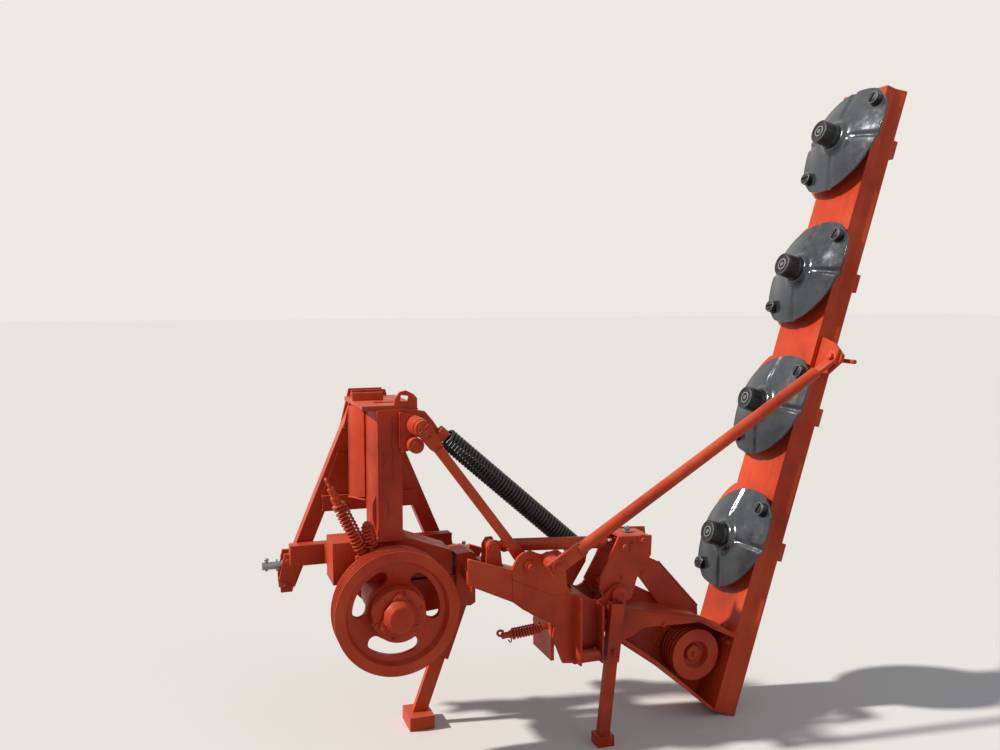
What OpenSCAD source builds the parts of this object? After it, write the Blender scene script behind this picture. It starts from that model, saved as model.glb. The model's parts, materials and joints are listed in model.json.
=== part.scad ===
/* [Layout] */
// Height of the drive pulley's axis above the floor
axis_h = 509.4; // [300:0.1:800]
// Sideways distance from the drive pulley's axis to the middle of the machine
origin_x = 788.5; // [400:0.5:1200]
// Forward distance from the drive pulley's rear face to the middle of the machine
origin_y = 182; // [0:1:500]

/* [Hitch frame] */
// Half the span between the lower hitch pins' shoulders
hitch_half = 341.5; // [250:0.5:450]
// Height of the lower hitch points above the pulley axis
hitch_h = 62; // [-100:1:200]
// Height of the top link pin above the pulley axis
top_h = 672; // [400:1:900]
// Forward distance of the leg plane
leg_y = 470; // [300:1:700]
// Width of a leg's channel
leg_w = 56; // [30:1:120]
// Depth of a leg's channel
leg_d = 56; // [20:1:100]
// Wall of the channels
leg_t = 8; // [3:0.5:15]
// Lower hitch pin radius
pin_r = 14; // [8:0.1:20]

/* [Mast] */
// Column width
col_w = 82; // [40:1:160]
// Column depth
col_d = 110; // [40:1:200]
// Forward distance of the column's rear face
col_y = 108; // [0:1:300]
// Height of the column's foot above the pulley axis
col_z0 = 196; // [100:1:300]
// Height of the column's top above the pulley axis
col_z1 = 664; // [400:1:900]
// Column wall
col_t = 8; // [3:0.5:15]
// Cross beam height
beam_h = 142; // [60:1:200]
// Cross beam depth
beam_d = 134; // [60:1:250]
// Cross beam forward distance
beam_y = 132; // [50:1:300]
// Height of the cross beam's underside above the pulley axis
beam_z = 78; // [0:1:200]

/* [Drive pulley] */
// Drive pulley radius
drive_r = 210; // [150:1:300]
// Drive pulley width
drive_w = 84; // [40:1:120]
// Number of belt grooves
grooves = 4; // [2:1:6]
// Groove pitch
groove_p = 19; // [12:0.5:25]
// Groove depth
groove_d = 13; // [8:0.5:20]
// Radial thickness of the rim
rim_w = 40; // [30:1:60]
// Hub radius
hub_r = 90; // [60:1:110]
// Hub to the kidney slots
slot_gap = 11; // [5:1:20]
// Kidney slots to the rim
slot_edge = 21; // [8:1:40]
// Driven pulley radius
driven_r = 96; // [50:1:150]
// Driven pulley axis, sideways from the drive pulley's axis
driven_x = 1118; // [800:1:1400]
// Driven pulley axis, above the drive pulley's axis
driven_z = -278; // [-500:1:0]

/* [Cutter bar] */
// Lean of the folded bar from the upright
bar_lean = 16.74; // [0:0.1:40]
// Inner rotor's foot on the panel, sideways
bar_x = 1357; // [1000:1:1600]
// Rotor axes, forward
bar_y = 84; // [0:1:200]
// Inner rotor's foot on the panel, height
bar_z = 115; // [-100:1:400]
// Spacing of the rotors
pitch = 525; // [400:1:650]
// Number of rotors
rotors = 4; // [2:1:6]
// Panel width
panel_w = 245; // [180:1:400]
// Bar thickness
bar_t = 80; // [50:1:120]
// Inner end of the bar from the inner rotor
bar_in = 628; // [400:1:800]
// Outer end of the bar beyond the outer rotor
bar_out = 205; // [100:1:300]
// Fold axis, sideways from the pulley axis
fold_x = 770; // [600:1:900]
// Fold axis, height from the pulley axis
fold_z = 4; // [-100:1:100]

// Park stand, sideways
stand_x = 300; // [200:1:400]
// Park stand, forward
stand_y = 272.5; // [200:0.5:400]
// Lean of the park stand
stand_a = 20; // [0:1:30]

/* [Rotors] */
// Radius of the knife bolts' circle
knife_r = 197; // [150:1:260]
// Half the width of the oval disc
disc_r = 176; // [120:1:240]
// Half the length of the oval disc
disc_l = 225; // [150:1:260]
// Height of the disc's rim above the panel
disc_h = 34; // [20:1:60]
// Rise of the disc from its rim to its cap
disc_rise = 48; // [20:1:80]
// Width of the pressed grooves in a disc
groove_w = 26; // [10:1:50]
// Sheet of the disc
disc_t = 7; // [3:0.5:12]
// Cap radius
cap_r = 44; // [25:1:70]
// Cap height
cap_h = 58; // [30:1:100]

/* [Rods and springs] */
// Transport rod radius
stay_r = 21; // [10:0.5:30]
// Transport rod lower pin, sideways
stay_x0 = 506; // [400:1:700]
// Transport rod lower pin, height
stay_z0 = 152; // [0:1:300]
// Transport rod upper end, sideways
stay_x1 = 1600; // [1400:1:1900]
// Transport rod upper end, height
stay_z1 = 827; // [600:1:1000]
// Transport rod, forward
stay_y = -140; // [-250:1:0]
// Tension rod's upper pin, sideways
tie_x0 = 82; // [40:1:140]
// Tension rod's upper pin, height
tie_z0 = 614; // [500:1:660]
// Tension rod's lower pin, sideways
tie_x1 = 436; // [400:1:480]
// Tension rod's lower pin, height
tie_z1 = 138; // [110:1:170]
// Balance spring coil radius
coil_r = 37; // [20:1:60]
// Balance spring wire radius
wire_r = 6; // [3:0.5:10]

/* [Hidden] */
bar_len = bar_in + (rotors - 1) * pitch + bar_out;
e = 0.5;
rim_r = drive_r - rim_w;
slot_r0 = hub_r + slot_gap;
slot_r1 = rim_r - slot_edge;

// Pulley-axis frame to the machine's frame
module site() { translate([-origin_x, -origin_y, axis_h]) children(); }
// Plate in the XZ plane from y0 to y1
module plate(y0, y1) { translate([0, y1, 0]) rotate([90, 0, 0]) linear_extrude(height = y1 - y0) children(); }
// Cylinder along Y from y0 to y1
module ycyl(x, z, r, y0, y1) { translate([x, y1, z]) rotate([90, 0, 0]) cylinder(r = r, h = y1 - y0, $fn = 64); }
// Box by its corners
module box(a, b) { translate(a) cube([b[0] - a[0], b[1] - a[1], b[2] - a[2]]); }
// Bar frame: x along the bar, y forward, z out of the panel
module bar_site() {
  site() translate([bar_x, bar_y, bar_z]) rotate([0, bar_lean - 90, 0]) children();
}
// Frame of a rod in the XZ plane: x along the rod from its start
module rod_site(x0, z0, x1, z1, y) {
  translate([x0, y, z0]) rotate([0, -atan2(z1 - z0, x1 - x0), 0]) children();
}
function rod_len(x0, z0, x1, z1) = sqrt(pow(x1 - x0, 2) + pow(z1 - z0, 2));

leg_top = [22, 672];
leg_bot = [hitch_half - 37, -6];
leg_a = atan2(leg_bot[0] - leg_top[0], leg_top[1] - leg_bot[1]);
leg_len = rod_len(leg_top[0], leg_top[1], leg_bot[0], leg_bot[1]);

module leg() {
  translate([leg_bot[0], leg_y, leg_bot[1]]) rotate([0, -leg_a, 0]) difference() {
    translate([-leg_w / 2, 0, 0]) cube([leg_w, leg_d, leg_len]);
    translate([-leg_w / 2 + leg_t, leg_t, -1]) cube([leg_w - 2 * leg_t, leg_d, leg_len + 2]);
  }
}
module hitch_legs() {
  color("#a8321c") site() difference() {
    union() {
      leg();
      mirror([1, 0, 0]) leg();
      // Head plate where the legs meet
      plate(leg_y - 12, leg_y) polygon([[-62, 700], [62, 700], [96, 560], [-96, 560]]);
      plate(leg_y + leg_d, leg_y + leg_d + 12) polygon([[-62, 700], [62, 700], [96, 560], [-96, 560]]);
      // Foot plates that carry the lower pins
      for (s = [-1, 1]) for (y = [leg_y - 12, leg_y + leg_d])
        plate(y, y + 12) polygon([[s * 244, 110], [s * 316, 110], [s * 334, 20], [s * 330, -30], [s * 290, -30]]);
    }
    box([-200, leg_y - 20, 700], [200, leg_y + 80, 760]);
    ycyl(0, top_h, 12.75, leg_y - 20, leg_y + 90);
    for (s = [-1, 1]) translate([s * 300, leg_y + leg_d / 2, hitch_h]) rotate([0, 90, 0]) cylinder(r = pin_r + 4, h = 200, center = true, $fn = 48);
  }
}
module hitch_tie() {
  color("#a8321c") site() difference() {
    box([-178, leg_y - 32, 262], [178, leg_y - 0.3, 318]);
    box([-184, leg_y - 26, 268], [184, leg_y - 6.3, 312]);
  }
}
module infill_plate() {
  color("#96301e") site() plate(leg_y - 8.3, leg_y - 0.3) polygon([[-118, 470], [118, 470], [176, 318.3], [-176, 318.3]]);
}
module mast_column() {
  color("#a8321c") site() {
    difference() {
      translate([-40, col_y, col_z0 + 24]) cube([col_w, col_d, col_z1 - col_z0 - 24]);
      translate([-40 + col_t, col_y + col_t, col_z0]) cube([col_w - 2 * col_t, col_d - 2 * col_t, col_z1 - col_z0 - 10]);
    }
    // Foot flange and the gusset left of it
    box([-44, col_y - 2, col_z0 + 24], [46, col_y + col_d + 4, col_z0 + 34]);
    plate(col_y + 20, col_y + 32) polygon([[-39, 390], [-56, 350], [-58, 300], [-39, 232]]);
  }
}
module mast_channel() {
  color("#a8321c") site() {
    difference() {
      plate(206, 290) polygon([[-112, 664.2], [-40.3, 664.2], [-40.3, 640], [-56, 640], [-56, 352], [-84, 326], [-116, 340]]);
      box([-104, 214, 300], [-48, 282, 652]);
    }
    // Back plate behind the column
    box([-58, 282, 352], [10, 290, 640]);
  }
}
module top_bracket() {
  color("#a8321c") site() difference() {
    union() {
      box([-90, 120, col_z1 + e], [98, leg_y - 12.3, col_z1 + 14]);
      // Upright lip
      box([-90, 300, col_z1 + 14], [20, 312, 706]);
      // Turned up lug
      plate(120, 134) polygon([[20, col_z1 + e], [20, 690], [24, 703], [38, 722], [60, 727], [86, 714], [98, 700], [98, col_z1 + e]]);
    }
    translate([-30, 210, 600]) cube([80, 30, 100]);
    box([-32, 396, 600], [32, leg_y, 720]);
    plate(110, 140) polygon([[38, 692], [66, 690], [70, 708], [42, 712]]);
  }
}
module cross_beam() {
  color("#a8321c") site() {
    difference() {
      plate(beam_y, beam_y + beam_d) polygon([[-192, beam_z], [-192, beam_z + beam_h], [66, beam_z + beam_h], [222, beam_z + beam_h - 59], [222, beam_z]]);
      plate(beam_y + 8, beam_y + beam_d - 8) polygon([[-182, beam_z + 8], [-182, beam_z + beam_h - 8], [64, beam_z + beam_h - 8], [230, beam_z + beam_h - 70], [230, beam_z + 8]]);
    }
    // Arms to the legs
    for (s = [-1, 1]) box([s * 150 - 30, beam_y + beam_d - 1, 90], [s * 150 + 30, leg_y - 60, 150]);
    box([-300, leg_y - 66, beam_z], [300, leg_y - 12.3, 150]);
  }
}
module hitch_pins() {
  color("#9da0a3") site() for (s = [-1, 1]) {
    translate([s * 262, leg_y + leg_d / 2, hitch_h]) rotate([0, s * 90, 0]) {
      cylinder(r = pin_r + 3.7, h = 60, $fn = 64);
      cylinder(r = pin_r, h = hitch_half + 50 - 262, $fn = 64);
      translate([0, 0, 74]) cylinder(r = 22, h = hitch_half - 262 - 74, $fn = 64);
    }
  }
}
module bearing_housing() {
  color("#8c2c1a") site() difference() {
    union() {
      ycyl(0, 0, 60, 99.5, leg_y - 60);
      ycyl(0, 0, 78, leg_y - 80, leg_y - 60);
      // Saddles up to the cross beam
      for (y = [266, 370]) plate(y, y + 14) polygon([[-90, beam_z - 0.3], [90, beam_z - 0.3], [58, 16], [-58, 16]]);
    }
    ycyl(0, 0, 40.05, 90, leg_y - 50);
  }
}
module pin_boss() {
  color("#a8321c") site() {
    ycyl(tie_x0, tie_z0, 31, -6, col_y - e);
    ycyl(tie_x0, tie_z0, 14, -40, 0);
    // Lower boss and the plate that carries both
    ycyl(76, 549, 26, 44, col_y - e);
    plate(col_y - 22, col_y - e) polygon([[30, 658], [70, 648], [104, 636], [112, 606], [100, 584], [84, 566], [72, 530], [34, 522]]);
  }
}
tie_l = rod_len(tie_x0, tie_z0, tie_x1, tie_z1);
module tension_rod() {
  color("#a8321c") site() rod_site(tie_x0, tie_z0, tie_x1, tie_z1, -20) {
    rotate([90, 0, 0]) difference() {
      union() {
        translate([0, 0, -12]) cylinder(r = 29, h = 26, $fn = 64);
        translate([0, 0, -7]) linear_extrude(height = 14) polygon([[0, -27], [0, 27], [72, 22], [90, 15], [90, -15], [72, -22]]);
        translate([84, 0, 0]) rotate([0, 90, 0]) cylinder(r = 17, h = tie_l - 155, $fn = 48);
        translate([tie_l - 81, 0, -8]) linear_extrude(height = 16) polygon([[0, -20], [0, 20], [82, 24], [100, 0], [82, -24]]);
      }
      cylinder(r = 14.4, h = 60, center = true, $fn = 48);
      translate([tie_l, 0, 0]) cylinder(r = 14, h = 60, center = true, $fn = 48);
    }
  }
}
module belt_tensioner() {
  color("#8c2c1a") site() {
    rod_site(-201, 413, -84, 168, 110) {
      rotate([0, 90, 0]) cylinder(r = 11.7, h = 268, $fn = 32);
      translate([62, 0, 0]) rotate([0, 90, 0]) cylinder(r = 24, h = 5, $fn = 48);
      translate([74, 0, 0]) rotate([0, 90, 0]) cylinder(r = 24, h = 5, $fn = 48);
    }
    box([-120, 92, 150], [-60, beam_y - 0.3, 178]);
  }
}
module tensioner_spring() {
  color("#a8321c") site() rod_site(-201, 413, -84, 168, 110)
    for (i = [0:18]) translate([83.5 + i * 8.3, 0, 0]) rotate([0, 90, 0]) rotate_extrude($fn = 48) translate([16, 0]) circle(r = 4, $fn = 20);
}
module subframe_root() {
  color("#96301e") site() difference() {
    union() {
      // Ring about the bearing housing
      ycyl(0, 0, 74, 126, 258);
      plate(140, 250) polygon([[0, 62], [200, 70], [242, 72], [242, -34], [200, -42], [0, -60]]);
      // Flange to the beam
      plate(126, 250) polygon([[236, 148], [286, 152], [304.7, 144], [304.7, -30], [288, -40], [236, -38]]);
    }
    ycyl(0, 0, 60.3, 100, 300);
  }
}
module subframe_beam() {
  color("#a8321c") site() difference() {
    plate(130, 230) polygon([[305, 116], [445, 66], [642, 4], [642, -62], [610, -166], [484, -76], [455, -52], [305, 18]]);
    plate(139, 221) polygon([[296, 109], [442, 57], [633, -3], [633, -60], [603, -150], [480, -66], [452, -42], [296, 29]]);
  }
}
module ear_plate() {
  color("#b03a1e") site() {
    difference() {
      union() {
        plate(-62, -48.3) polygon([[376, 98], [374, 130], [396, 172], [414, 184], [444, 188], [466, 178], [482, 172], [540, 184], [558, 170], [568, 120], [574, 60], [586, 31.3], [545, 31.3], [529, 27]]);
        ycyl(stay_x0, stay_z0, 26, stay_y + 9, -48.3);
      }
      ycyl(tie_x1, tie_z1, 13, -80, -40);
    }
    // Pins of the two rods
    ycyl(tie_x1, tie_z1, 12.9, -66, -9);
    ycyl(tie_x1, tie_z1, 18, -70, -62);
    ycyl(stay_x0, stay_z0, 12.9, stay_y - 14, stay_y + 12);
  }
}
module end_clevis() {
  color("#a8321c") site() difference() {
    union() {
      // Near and far plates
      for (y = [-60, 118]) {
        plate(y, y + 11.7) polygon([[545, 31], [581, 31], [691, -10], [712, -2], [741, 30], [770, 42], [806, 10], [800, -28], [778, -62], [705, -78], [700, -112], [690, -150], [669, -205], [640, -225], [560, -215], [522, -120], [534, -60]]);
        ycyl(fold_x, fold_z, 36, y, y + 11.7);
      }
      // The near plate reaches back under the ear plate
      plate(-60, -48.3) polygon([[545, 31], [529, 26.6], [376, 97.6], [376, 20], [413, -10], [528, -78], [560, -78], [560, 31]]);
      // Web over the belts' way
      plate(-50, 120) polygon([[566, 29], [580, 29], [668, -3.7], [668, -12.2], [579, 21], [566, 21]]);
      // Transverse plates
      for (x = [602, 684]) box([x, -112, -212], [x + 8, -59, x == 602 ? 22 : -12]);
      // Lower gusset
      box([520, -50, -205], [532, 119, -78]);
    }
    ycyl(fold_x, fold_z, 20.05, -80, 150);
  }
}
module clevis_tube() {
  color("#b03a1e") site() translate([610.3, -88, -188]) rotate([0, 90, 0]) cylinder(r = 22, h = 73.4, $fn = 48);
}
module release_rod() {
  color("#8c2c1a") site() rod_site(355, -112, 519, -97, -10) {
    rotate([0, 90, 0]) cylinder(r = 10.7, h = 164.4, $fn = 32);
    translate([40, 0, 0]) rotate([0, 90, 0]) cylinder(r = 20, h = 5, $fn = 48);
  }
}
module release_spring() {
  color("#a8321c") site() rod_site(355, -112, 519, -97, -10)
    for (i = [0:14]) translate([49 + i * 6.7, 0, 0]) rotate([0, 90, 0]) rotate_extrude($fn = 48) translate([14, 0]) circle(r = 3.2, $fn = 20);
}
spring_x0 = 190; spring_z0 = 566; spring_x1 = 674; spring_z1 = 142;
spring_l = rod_len(spring_x0, spring_z0, spring_x1, spring_z1);
module balance_spring() {
  color("#1c1e20") site() rod_site(spring_x0, spring_z0, spring_x1, spring_z1, 100) rotate([0, 90, 0]) rotate_extrude($fn = 64)
    polygon(concat([[coil_r - 2 * wire_r, 0], [coil_r - wire_r, 0]],
      [for (i = [0:47]) for (k = [0:3]) [coil_r - wire_r + wire_r * sin(22.5 + 45 * k), i * (spring_l / 48) + spring_l / 96 - wire_r * cos(22.5 + 45 * k)]],
      [[coil_r - wire_r, spring_l], [coil_r - 2 * wire_r, spring_l]]));
}
module spring_anchors() {
  color("#55585c") site() {
    rod_site(spring_x0, spring_z0, spring_x1, spring_z1, 100) {
      translate([-34, 0, 0]) rotate([0, 90, 0]) cylinder(r = 22, h = 33.5, $fn = 48);
      translate([spring_l + e, 0, 0]) rotate([0, 90, 0]) cylinder(r = 30, h = 40, $fn = 48);
    }
    // Strap to the column
    plate(110.3, 130) polygon([[42.3, 655], [42.3, 590], [140, 560], [170, 560], [182, 574], [150, 622], [122, 655], [100, 659]]);
    // Bracket on the end plates
    plate(101.3, 129) polygon([[590, 28.1], [664, 0.5], [716, 84], [722, 120], [702, 138], [664, 92], [600, 56]]);
  }
}
module stand_sockets() {
  color("#a8321c") site() {
    translate([stand_x, stand_y, -10]) rotate([0, stand_a, 0]) difference() {
      translate([-34, -22, -270]) cube([68, 44, 340]);
      translate([-25.3, -11.3, -280]) cube([50.6, 22.6, 370]);
    }
    translate([749, -90, -8]) rotate([0, 6, 0]) difference() {
      union() {
        translate([-25, -16, -210]) cube([50, 32, 205]);
        translate([-25, 15, -60]) cube([50, 14.7, 40]);
      }
      translate([-21.3, -12.3, -220]) cube([42.6, 24.6, 240]);
    }
  }
}
module park_stand() {
  color("#a8321c") site() translate([stand_x, stand_y, -10]) rotate([0, stand_a, 0]) {
    translate([-25, -11, -490]) cube([50, 22, 640]);
    translate([0, 0, -490]) rotate([0, -stand_a, 0]) box([-45, -60, -38.95], [45, 60, 10]);
  }
}
module shoe_stand() {
  color("#a8321c") site() translate([749, -90, -8]) rotate([0, 6, 0]) {
    translate([-21, -12, -470]) cube([42, 24, 330]);
    translate([0, 0, -470]) rotate([0, -6, 0]) box([-30, -30, -34], [30, 30, 4]);
  }
}
module drive_pulley() {
  color("#a5301b") site() {
    w = drive_w; g0 = (w - grooves * groove_p) / 2;
    difference() {
      translate([0, w, 0]) rotate([90, 0, 0]) rotate_extrude($fn = 128) polygon(concat(
        [[rim_r, 0], [drive_r, 0], [drive_r, g0]],
        [for (i = [0:grooves - 1]) for (p = [[drive_r, 1.5], [drive_r - groove_d, 5.5], [drive_r - groove_d, groove_p - 5.5], [drive_r, groove_p - 1.5]]) [p[0], g0 + i * groove_p + p[1]]],
        [[drive_r, w], [rim_r + 4, w], [rim_r - 4, w - 26], [hub_r, w - 40], [hub_r, 20], [rim_r - 4, 36]]));
      // Kidney slots in the web
      for (a = [24, 144, 264]) translate([0, w / 2, 0]) rotate([90, -a, 0]) linear_extrude(height = w, center = true)
        union() {
          intersection() {
            difference() { circle(r = slot_r1, $fn = 96); circle(r = slot_r0, $fn = 96); }
            polygon([[0, 0], [220 * cos(30), -220 * sin(30)], [260, 0], [220 * cos(30), 220 * sin(30)]]);
          }
          for (s = [-30, 30]) rotate([0, 0, s]) translate([(slot_r0 + slot_r1) / 2, 0]) circle(r = (slot_r1 - slot_r0) / 2 - 0.2, $fn = 48);
        }
    }
  }
}
module drive_hub() {
  color("#8c2c1a") site() {
    ycyl(0, 0, hub_r - e, -16, 60);
    ycyl(0, 0, 62, 58, 94);
    // Three-lobed cover and its domed middle
    plate(-30, -15) union() {
      circle(r = 42, $fn = 64);
      for (a = [90, 210, 330]) rotate([0, 0, a]) translate([50, 0]) circle(r = 24, $fn = 48);
    }
    translate([0, -29, 0]) rotate([90, 0, 0]) cylinder(r1 = 38, r2 = 26, h = 16, $fn = 8);
  }
}
module input_shaft() {
  color("#9da0a3") site() {
    ycyl(0, 0, 40, 94.5, 300);
    ycyl(0, 0, 25, 299, leg_y - 60);
    ycyl(0, 0, 17.4, leg_y - 61, leg_y + 20);
  }
}
bar_section = [[-panel_w / 2, 0], [panel_w / 2, 0], [panel_w / 2, -22], [panel_w / 2 - 30, -bar_t], [-panel_w / 2 - 17, -bar_t], [-panel_w / 2 - 17, -bar_t + 7], [-panel_w / 2, -38]];
bar_inside = [[-panel_w / 2 + 8, -8], [panel_w / 2 - 8, -8], [panel_w / 2 - 8, -20], [panel_w / 2 - 36, -bar_t + 8], [-panel_w / 2 - 5, -bar_t + 8], [-panel_w / 2 + 8, -41]];
module bar_panel() {
  color("#9c3421") bar_site() difference() {
    translate([-bar_in, 0, 0]) rotate([90, 0, 90]) linear_extrude(height = bar_len) polygon(bar_section);
    translate([-bar_in - 10, 0, 0]) rotate([90, 0, 90]) linear_extrude(height = bar_len + 20) polygon(bar_inside);
  }
}
module bar_guards() {
  color("#9c3421") bar_site() for (i = [0:rotors - 1]) translate([i * pitch, 0, -16]) intersection() {
    cylinder(r = 242, h = 12, $fn = 96);
    translate([-200, panel_w / 2, -1]) cube([400, 200, 20]);
  }
}
module skid_shoes() {
  color("#7a2a1c") bar_site() for (i = [0:rotors - 1]) translate([i * pitch, 0, -bar_t - 12]) {
    translate([-60, -panel_w / 2 + 5, 0]) cube([120, panel_w - 50, 12 - e]);
    translate([-34, -panel_w / 2 + 5, -24]) cube([68, 50, 24]);
  }
}
module end_plate() {
  // Plug of the bar's inner end
  color("#9c3421") bar_site() translate([-bar_in + 3, 0, 0]) rotate([90, 0, 90]) linear_extrude(height = 10)
    offset(delta = -0.3) polygon(bar_inside);
  color("#9c3421") bar_site() translate([bar_len - bar_in + e, 0, 0]) rotate([90, 0, 90]) linear_extrude(height = 9) difference() {
    polygon(bar_section);
    translate([-panel_w / 2 + 26, -40]) circle(r = 9, $fn = 32);
  }
}
module transport_lug() {
  color("#9c3421") bar_site() difference() {
    translate([0, 0, -30]) linear_extrude(height = 12)
      polygon([[672, -panel_w / 2 - 0.3], [683, -206], [733, -260], [757, -259], [800, -194], [818, -panel_w / 2 - 0.3]]);
    translate([742, stay_y - bar_y, -80]) cylinder(r = 13, h = 90, $fn = 48);
  }
}
module inner_shoe() {
  color("#a03320") site() difference() {
    union() {
      plate(96.3, 112) polygon([[740, 30], [800, 36], [1097, -119], [1180, -165], [1259.6, -205], [1175.6, -486], [936, -285], [779, -176]]);
      ycyl(fold_x, fold_z, 28, -42, 110);
      // Top and lower walls of the shoe
      plate(-42, 98) polygon([[792, -54], [1099, -117], [1180, -163], [1259.6, -202], [1255.4, -216], [1176, -178], [1096, -132], [804, -70]]);
      plate(-42, 98) polygon([[782, -171], [797, -160], [934, -262], [1168, -468], [1171, -484], [934, -280]]);
      // Band over the mouth, with its left end
      plate(-41, -32) polygon([[791, -52], [1099, -114], [1140, -139], [1069, -139], [881, -133], [837, -159], [797, -168], [786, -168]]);
    }
    ycyl(fold_x, fold_z, 20.05, -80, 150);
    ycyl(driven_x, driven_z, 40, 80, 120);
  }
}
module bevel_gearbox() {
  color("#8c2c1a") {
    site() difference() {
      ycyl(driven_x, driven_z, 70, 112.3, 190);
      ycyl(driven_x, driven_z, 27.55, 90, 150);
    }
    bar_site() translate([-560, 31, 0.3]) cube([200, 84, 60]);
  }
}
module lift_lever() {
  color("#a8321c") site() {
    difference() {
      union() {
        plate(-42, -32) polygon([[705, 28], [709, 60], [778, 205], [907, 199], [905, 130], [850, 50], [830, -20], [770, -40], [730, -20]]);
        plate(86, 96) polygon([[705, 28], [752, 110], [790, 208], [946, 198], [964, 60], [940, 22], [850, 4], [830, -20], [770, -40], [730, -20]]);
      }
      ycyl(fold_x, fold_z, 28.3, -80, 140);
      ycyl(934, 49, 8, 80, 100);
    }
    // Top web
    plate(-34, 88) polygon([[792, 203], [904, 197.5], [904, 189], [792, 194]]);
    // Pin stubs of the cylinder's eye
    ycyl(cyl_x1, cyl_z1, 12.5, -46, 8);
    ycyl(cyl_x1, cyl_z1, 12.5, 56, 88);
  }
}
module link_plate() {
  color("#b03a1e") site() difference() {
    plate(76, 85.7) polygon([[900, 40], [902, 66], [918, 84], [946, 90], [1001, 64], [1166, -118], [1168, -155.5], [1099.2, -116.4], [1003, -96.7]]);
    ycyl(934, 49, 8, 70, 90);
  }
}
module rotor_necks() {
  color("#8c2c1a") bar_site() for (i = [0:rotors - 1]) translate([i * pitch, 0, e]) difference() {
    cylinder(r = 60, h = 40, $fn = 64);
    translate([0, 0, -1]) cylinder(r = 20.05, h = 50, $fn = 48);
  }
}
module driven_pulley() {
  color("#a5301b") site() translate([driven_x, drive_w, driven_z]) rotate([90, 0, 0]) rotate_extrude($fn = 96) polygon(concat(
    [[46, 0], [driven_r, 0], [driven_r, (drive_w - grooves * groove_p) / 2]],
    [for (i = [0:grooves - 1]) for (p = [[driven_r, 1.5], [driven_r - groove_d, 5.5], [driven_r - groove_d, groove_p - 5.5], [driven_r, groove_p - 1.5]]) [p[0], (drive_w - grooves * groove_p) / 2 + i * groove_p + p[1]]],
    [[driven_r, drive_w], [52, drive_w], [46, drive_w - 26], [28, drive_w - 30], [28, 10], [46, 6]]));
}
module driven_hub() {
  color("#8d9094") site() ycyl(driven_x, driven_z, 27.5, 20, 148);
}
// Disc's upper profile: radius, height
disc_top = [[50, disc_rise + 10], [57, disc_rise + 7], [66, disc_rise - 4], [110, disc_rise - 14], [166, 17], [disc_l, 4]];
lens_r = (pow(disc_l + 15, 2) + pow(disc_r, 2)) / (2 * disc_r);
module rotor(i) {
  color("#2b3034") bar_site() translate([i * pitch, 0, disc_h]) {
    difference() {
      intersection() {
        rotate_extrude($fn = 128) polygon(concat([[30, disc_rise - 16], [30, disc_rise + 10]], disc_top,
          [for (k = [5:-1:0]) [disc_top[k][0], disc_top[k][1] - disc_t]]));
        // Two wide arcs make the oval
        rotate([0, 0, -45]) translate([0, lens_r - disc_r, -40]) cylinder(r = lens_r, h = 120, $fn = 128);
        rotate([0, 0, -45]) translate([0, disc_r - lens_r, -40]) cylinder(r = lens_r, h = 120, $fn = 128);
      }
      // Pressed grooves
      for (a = [0:90:270]) rotate([0, 0, a]) translate([0, groove_w / 2, 0]) rotate([90, 0, 0]) linear_extrude(height = groove_w)
        polygon([[76, 70], [76, disc_rise - 10], [112, disc_rise - 19], [166, 12.5], [disc_l + 5, -1], [disc_l + 5, 70]]);
    }
    // Knife bolts
    rotate([0, 0, -45]) for (s = [-1, 1]) translate([s * knife_r, 0, -16]) cylinder(r = 24, h = 50, $fn = 48);
    // Shaft
    translate([0, 0, -disc_h + 2]) cylinder(r = 20, h = disc_h + disc_rise - 14, $fn = 48);
    translate([0, 0, disc_rise - 26]) cylinder(r = 48, h = 30, $fn = 64);
  }
}
module cap(i) {
  color("#16181a") bar_site() translate([i * pitch, 0, disc_h + disc_rise + 10 + e]) rotate_extrude($fn = 96)
    polygon([[0, 0], [cap_r + 3, 0], [cap_r + 2, 8], [cap_r, 14], [cap_r - 1, cap_h - 6], [cap_r - 6, cap_h], [0, cap_h]]);
}
stay_l = rod_len(stay_x0, stay_z0, stay_x1, stay_z1);
module transport_rod() {
  color("#b03a1e") {
    site() rod_site(stay_x0, stay_z0, stay_x1, stay_z1, stay_y) difference() {
      union() {
        rotate([90, 0, 0]) translate([-30, -26, -8]) cube([130, 52, 16]);
        translate([90, 0, 0]) rotate([0, 90, 0]) cylinder(r = stay_r, h = stay_l - 200, $fn = 64);
        translate([stay_l - 130, -24, -6]) cube([97, 48, 12]);
      }
      rotate([90, 0, 0]) cylinder(r = 13, h = 60, center = true, $fn = 48);
    }
    // Bent tab on the lug
    bar_site() translate([718, stay_y - bar_y - 24, -17.7]) cube([56, 48, 12]);
  }
}
cyl_x0 = 330; cyl_z0 = 195; cyl_x1 = 830; cyl_z1 = 166;
cyl_l = rod_len(cyl_x0, cyl_z0, cyl_x1, cyl_z1);
module cylinder_barrel() {
  color("#8c2c1a") site() rod_site(cyl_x0, cyl_z0, cyl_x1, cyl_z1, 32) difference() {
    union() {
      rotate([90, 0, 0]) cylinder(r = 20, h = 36, center = true, $fn = 48);
      rotate([0, 90, 0]) cylinder(r = 15, h = 44, $fn = 48);
      translate([40, 0, 0]) rotate([0, 90, 0]) cylinder(r = 22, h = 390, $fn = 64);
    }
    rotate([90, 0, 0]) cylinder(r = 12.55, h = 40, center = true, $fn = 48);
    translate([60, 0, 0]) rotate([0, 90, 0]) cylinder(r = 12.55, h = 400, $fn = 48);
  }
}
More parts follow.
